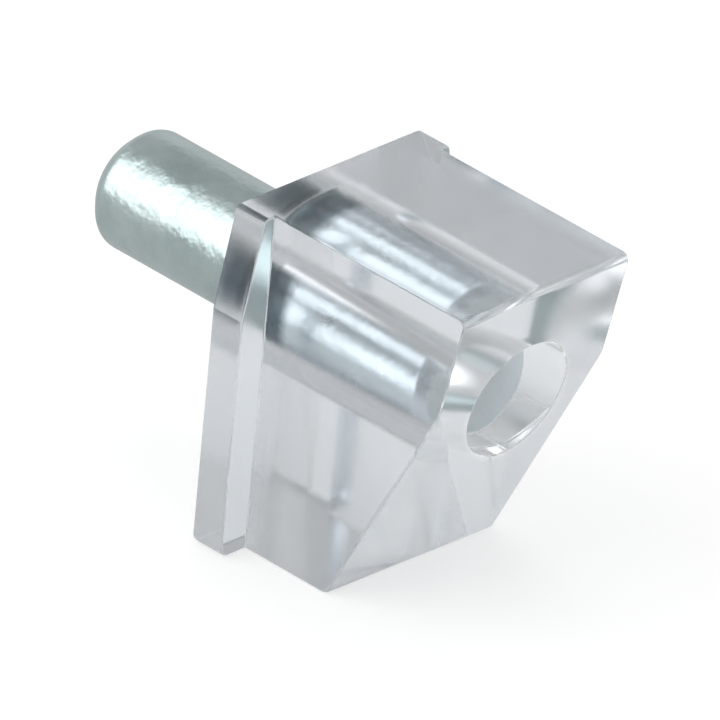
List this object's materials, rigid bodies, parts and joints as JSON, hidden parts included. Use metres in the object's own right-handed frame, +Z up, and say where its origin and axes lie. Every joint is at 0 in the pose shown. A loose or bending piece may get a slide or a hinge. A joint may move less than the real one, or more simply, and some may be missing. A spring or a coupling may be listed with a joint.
{
  "type": "shelf support pin",
  "caption": "Clear moulded shelf support with a shield-shaped front and a plated steel pin that plugs into a cabinet side hole.",
  "frame": {"origin": "on the pin's axis, at the wall face that bears on the cabinet side", "axes": "+X from the pin's free end towards the front of the block, +Y across the width, +Z up to the shelf"},
  "size_m": [0.022, 0.0116, 0.0145],
  "materials": {
    "clear_plastic": "clear moulded plastic, polished",
    "plated_steel": "zinc plated, satin"
  },
  "bodies": {
    "root": {"support_body": "clear_plastic", "steel_pin": "plated_steel"}
  },
  "joints": []
}
